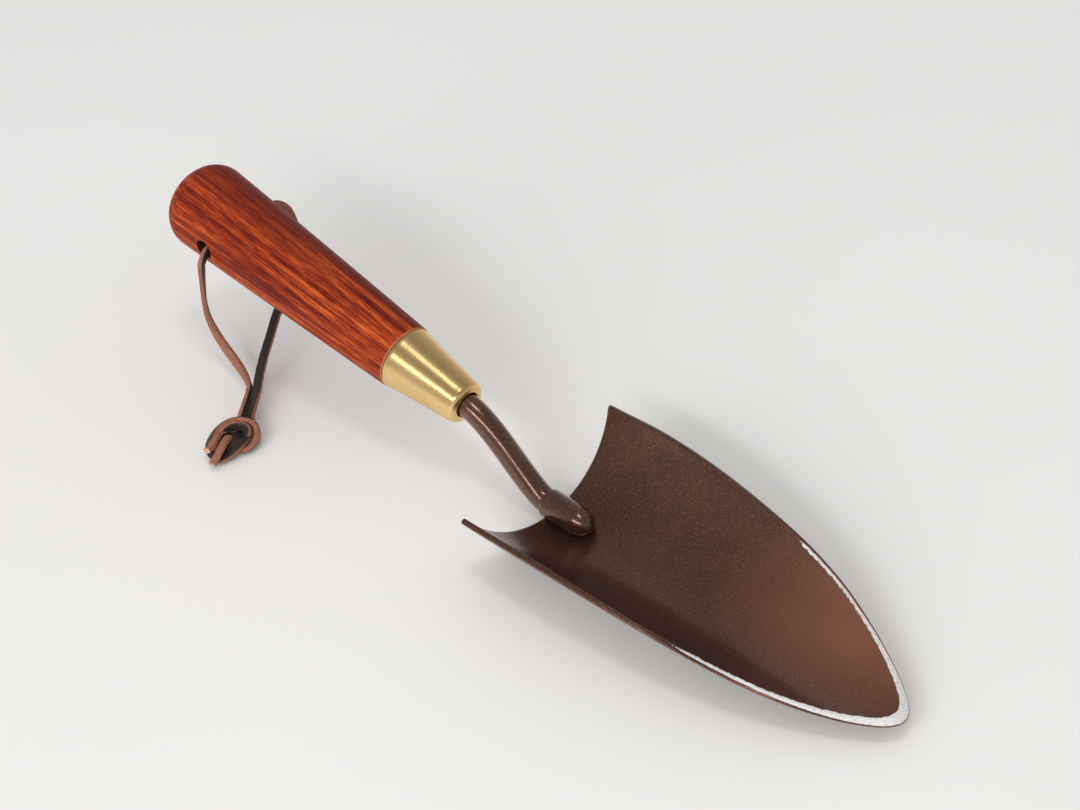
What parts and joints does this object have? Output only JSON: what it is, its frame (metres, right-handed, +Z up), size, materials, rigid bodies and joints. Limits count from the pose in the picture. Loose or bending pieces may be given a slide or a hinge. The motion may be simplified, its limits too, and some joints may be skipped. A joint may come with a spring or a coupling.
{
  "type": "hand trowel",
  "caption": "Hand trowel with a pointed dished steel blade, cranked shank, brass ferrule, turned wooden handle and a leather hanging strap.",
  "frame": {"origin": "middle of the trowel's length and width, on the table that its heel rests on", "axes": "+X from the butt towards the blade's tip, +Z up out of the dish, the trowel symmetrical about the XZ plane"},
  "size_m": [0.3245, 0.0969, 0.0685],
  "materials": {
    "coated_blade": "satin",
    "ground_edge": "satin",
    "coated_steel": "satin",
    "satin_brass": "satin",
    "varnished_wood": "gloss",
    "adhesive": "matte",
    "leather": "matte"
  },
  "bodies": {
    "trowel": {"blade": "coated_blade", "socket": "coated_steel", "shank": "coated_steel", "ferrule": "satin_brass", "handle": "varnished_wood", "tang_adhesive": "adhesive"},
    "strap": {"strap_lace": "leather", "strap_knot": "leather", "strap_tail_lower": "leather", "strap_tail_upper": "leather"}
  },
  "joints": [
    {"name": "strap_swing", "type": "hinge", "parent": "trowel", "child": "strap", "pos_m": [-0.13583, 0, 0.04991], "axis": [0, 1, 0], "range_deg": [-15, 240]}
  ]
}
